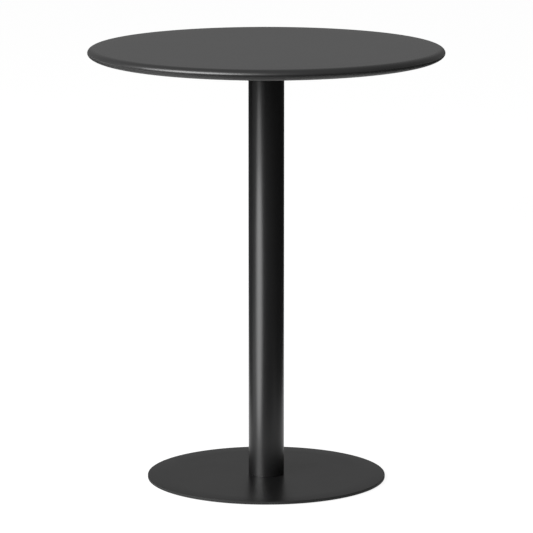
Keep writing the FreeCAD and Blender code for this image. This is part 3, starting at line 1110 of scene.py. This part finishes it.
def add_softbox(name, place, target, width, height, glow):
    """Oval lamp that faces a target; its power is its glow times its area times pi."""
    lamp = bpy.data.lights.new(name, "AREA")
    lamp.shape = "ELLIPSE"
    lamp.size = width
    lamp.size_y = height
    lamp.energy = glow * width * height * math.pi / 4.0 * math.pi
    holder = add_object(name, lamp)
    holder.location = place
    holder.rotation_euler = (Vector(target) - Vector(place)).to_track_quat("-Z", "Y").to_euler()
    return lamp


def add_sheet(name, corner, along, across, colour):
    """Flat matt sheet: a corner plus shares of two edges. The camera looks past it, as past the lamps."""
    share = np.array((0.0, 1.0))
    grid = np.array(corner) + share[:, None, None] * np.array(along) + share[None, :, None] * np.array(across)
    material, tree = new_finish(name)
    dress(tree, {"Base Color": shade(colour), "Roughness": 1.0, "Specular IOR Level": 0.0})
    sheet = add_object(name, mesh_from_grids(name, [grid], closed=False), material)
    sheet.visible_camera = False
    sheet.visible_shadow = False


def floor_finish(stage):
    """Pale floor: diffuse, lifted to white where it is seen directly, in reflection or through glass.

    Its lower side is see-through, so that the table can be looked at from below.
    """
    material, tree = new_finish("pale_floor")
    tree.nodes.remove(tree.nodes["Principled BSDF"])
    path = add_node(tree, "ShaderNodeLightPath").outputs
    passed_on = maths(tree, "MAXIMUM", path["Is Glossy Ray"], path["Is Transmission Ray"])
    seen = maths(tree, "MAXIMUM", path["Is Camera Ray"], passed_on)
    matte = add_node(tree, "ShaderNodeBsdfDiffuse", {"Color": shade(stage.floor_colour)}).outputs[0]
    lift = add_node(tree, "ShaderNodeEmission", {"Strength": maths(tree, "MULTIPLY", seen, stage.floor_lift)})
    lit = add_node(tree, "ShaderNodeAddShader", {0: matte, 1: lift.outputs[0]}).outputs[0]
    clear = add_node(tree, "ShaderNodeBsdfTransparent").outputs[0]
    below = add_node(tree, "ShaderNodeNewGeometry").outputs["Backfacing"]
    side = add_node(tree, "ShaderNodeMixShader", {0: below, 1: lit, 2: clear}).outputs[0]
    tree.links.new(side, tree.nodes["Material Output"].inputs["Surface"])
    return material


class TABLE_OT_stage(bpy.types.Operator):
    """Stage: pale floor, dim room, softboxes, sheets and cloths beside the picture, and the camera"""

    bl_idname = "table.stage"
    bl_label = "Stage"

    def execute(self, context):
        scene = context.scene
        stage = scene.table_stage
        inwards = np.array((stage.floor_reach, *FLOOR_RINGS, 0.0))[:, None]  # this order makes it face up
        disc = polar(inwards, -FLOOR_DROP, full_turn(FLOOR_COLUMNS))
        mesh = mesh_from_grids("pale_floor", [disc], closed=False)
        floor = add_object("pale_floor", mesh, floor_finish(stage))

        room = bpy.data.worlds.new("dim_room")
        room.use_nodes = True
        room.node_tree.nodes["Background"].inputs["Color"].default_value = shade(stage.room_colour)
        scene.world = room

        middle = (0.0, 0.0, ends_of("table_top")[1] / 2.0)
        key_plan = left_front(KEY_DISTANCE * math.cos(KEY_RISE), KEY_BEARING)
        key_place = (*key_plan, KEY_DISTANCE * math.sin(KEY_RISE))
        add_softbox("key_softbox", key_place, middle, KEY_WIDTH, KEY_HEIGHT, stage.key_glow)
        for name, distance, height, glow in (
            ("strip_softbox", STRIP_DISTANCE, STRIP_HEIGHT, stage.strip_glow),
            ("strip_core", STRIP_DISTANCE - CORE_AHEAD, CORE_HEIGHT, stage.core_glow),
        ):
            place = (*left_front(distance, STRIP_BEARING), STRIP_MIDDLE)
            strip = add_softbox(name, place, (0.0, 0.0, STRIP_MIDDLE), STRIP_WIDTH, height, glow)
            strip.spread = STRIP_SPREAD

        for name, start, aside, flare, colour in (
            ("left_flag", LEFT_FLAG_START, -FLAG_ASIDE, -FLAG_FLARE, stage.left_flag_colour),
            ("right_flag", RIGHT_FLAG_START, FLAG_ASIDE, FLAG_FLARE, stage.right_flag_colour),
        ):
            run = (flare, FLAG_BACK - start, 0.0)
            add_sheet(name, (aside, start, 0.0), run, (0.0, 0.0, FLAG_HEIGHT), colour)
        for name, corner, along, forward in (
            ("front_cloth", (-CLOTH_WIDTH / 2.0, CLOTH_START, 0.0), CLOTH_WIDTH, CLOTH_LENGTH),
            ("left_cloth", (-LEFT_CLOTH_ASIDE, LEFT_CLOTH_BACK, 0.0), -LEFT_CLOTH_WIDTH, LEFT_CLOTH_LENGTH),
        ):
            add_sheet(name, corner, (along, 0.0, 0.0), (0.0, -forward, 0.0), stage.cloth_colour)

        lens = bpy.data.cameras.new("table_camera")
        lens.lens = stage.lens
        lens.clip_end = CAMERA_REACH
        camera = add_object("table_camera", lens)
        camera.location = (stage.camera_aside, -stage.camera_distance, stage.camera_height)
        camera.rotation_euler = (QUARTER_TURN - stage.camera_tilt, 0.0, 0.0)
        scene.camera = camera
        scene.view_settings.view_transform = "Standard"
        return {"FINISHED"}


class VIEW3D_PT_pedestal_table(bpy.types.Panel):
    """Sidebar panel with the table's sizes, finishes and build steps"""

    bl_label = "Pedestal Table"
    bl_space_type = "VIEW_3D"
    bl_region_type = "UI"
    bl_category = "Table"

    def draw(self, context):
        for name, _ in SETTINGS:
            group = getattr(context.scene, name)
            box = self.layout.box()
            for key in group.bl_rna.properties.keys():
                if key not in {"rna_type", "name"}:
                    box.prop(group, key)
        for operator in OPERATORS:
            self.layout.operator(operator.bl_idname)


SETTINGS = (
    ("table_board", BoardSizes),
    ("table_column", ColumnSizes),
    ("table_foot", FootSizes),
    ("table_plate", PlateSizes),
    ("table_screws", ScrewSizes),
    ("table_rod", RodSizes),
    ("table_colours", FinishColours),
    ("table_stage", StageSettings),
)
OPERATORS = (
    TABLE_OT_board_top,
    TABLE_OT_column,
    TABLE_OT_disc_foot,
    TABLE_OT_under_plate,
    TABLE_OT_foot_pads,
    TABLE_OT_plate_bolts,
    TABLE_OT_tie_rod,
    TABLE_OT_foot_boss,
    TABLE_OT_stage,
)


def register():
    """Registers the settings, operators and panel."""
    for name, group in SETTINGS:
        bpy.utils.register_class(group)
        setattr(bpy.types.Scene, name, PointerProperty(type=group))
    for operator in OPERATORS:
        bpy.utils.register_class(operator)
    bpy.utils.register_class(VIEW3D_PT_pedestal_table)


def unregister():
    """Takes the panel, operators and settings out again, last first."""
    bpy.utils.unregister_class(VIEW3D_PT_pedestal_table)
    for operator in reversed(OPERATORS):
        bpy.utils.unregister_class(operator)
    for name, group in reversed(SETTINGS):
        delattr(bpy.types.Scene, name)
        bpy.utils.unregister_class(group)


def main():
    """Builds every piece and the stage."""
    register()
    bpy.ops.table.board_top()
    bpy.ops.table.column()
    bpy.ops.table.disc_foot()
    bpy.ops.table.under_plate()
    bpy.ops.table.foot_pads()
    bpy.ops.table.plate_bolts()
    bpy.ops.table.tie_rod()
    bpy.ops.table.foot_boss()
    bpy.ops.table.stage()


if __name__ == "__main__":
    main()
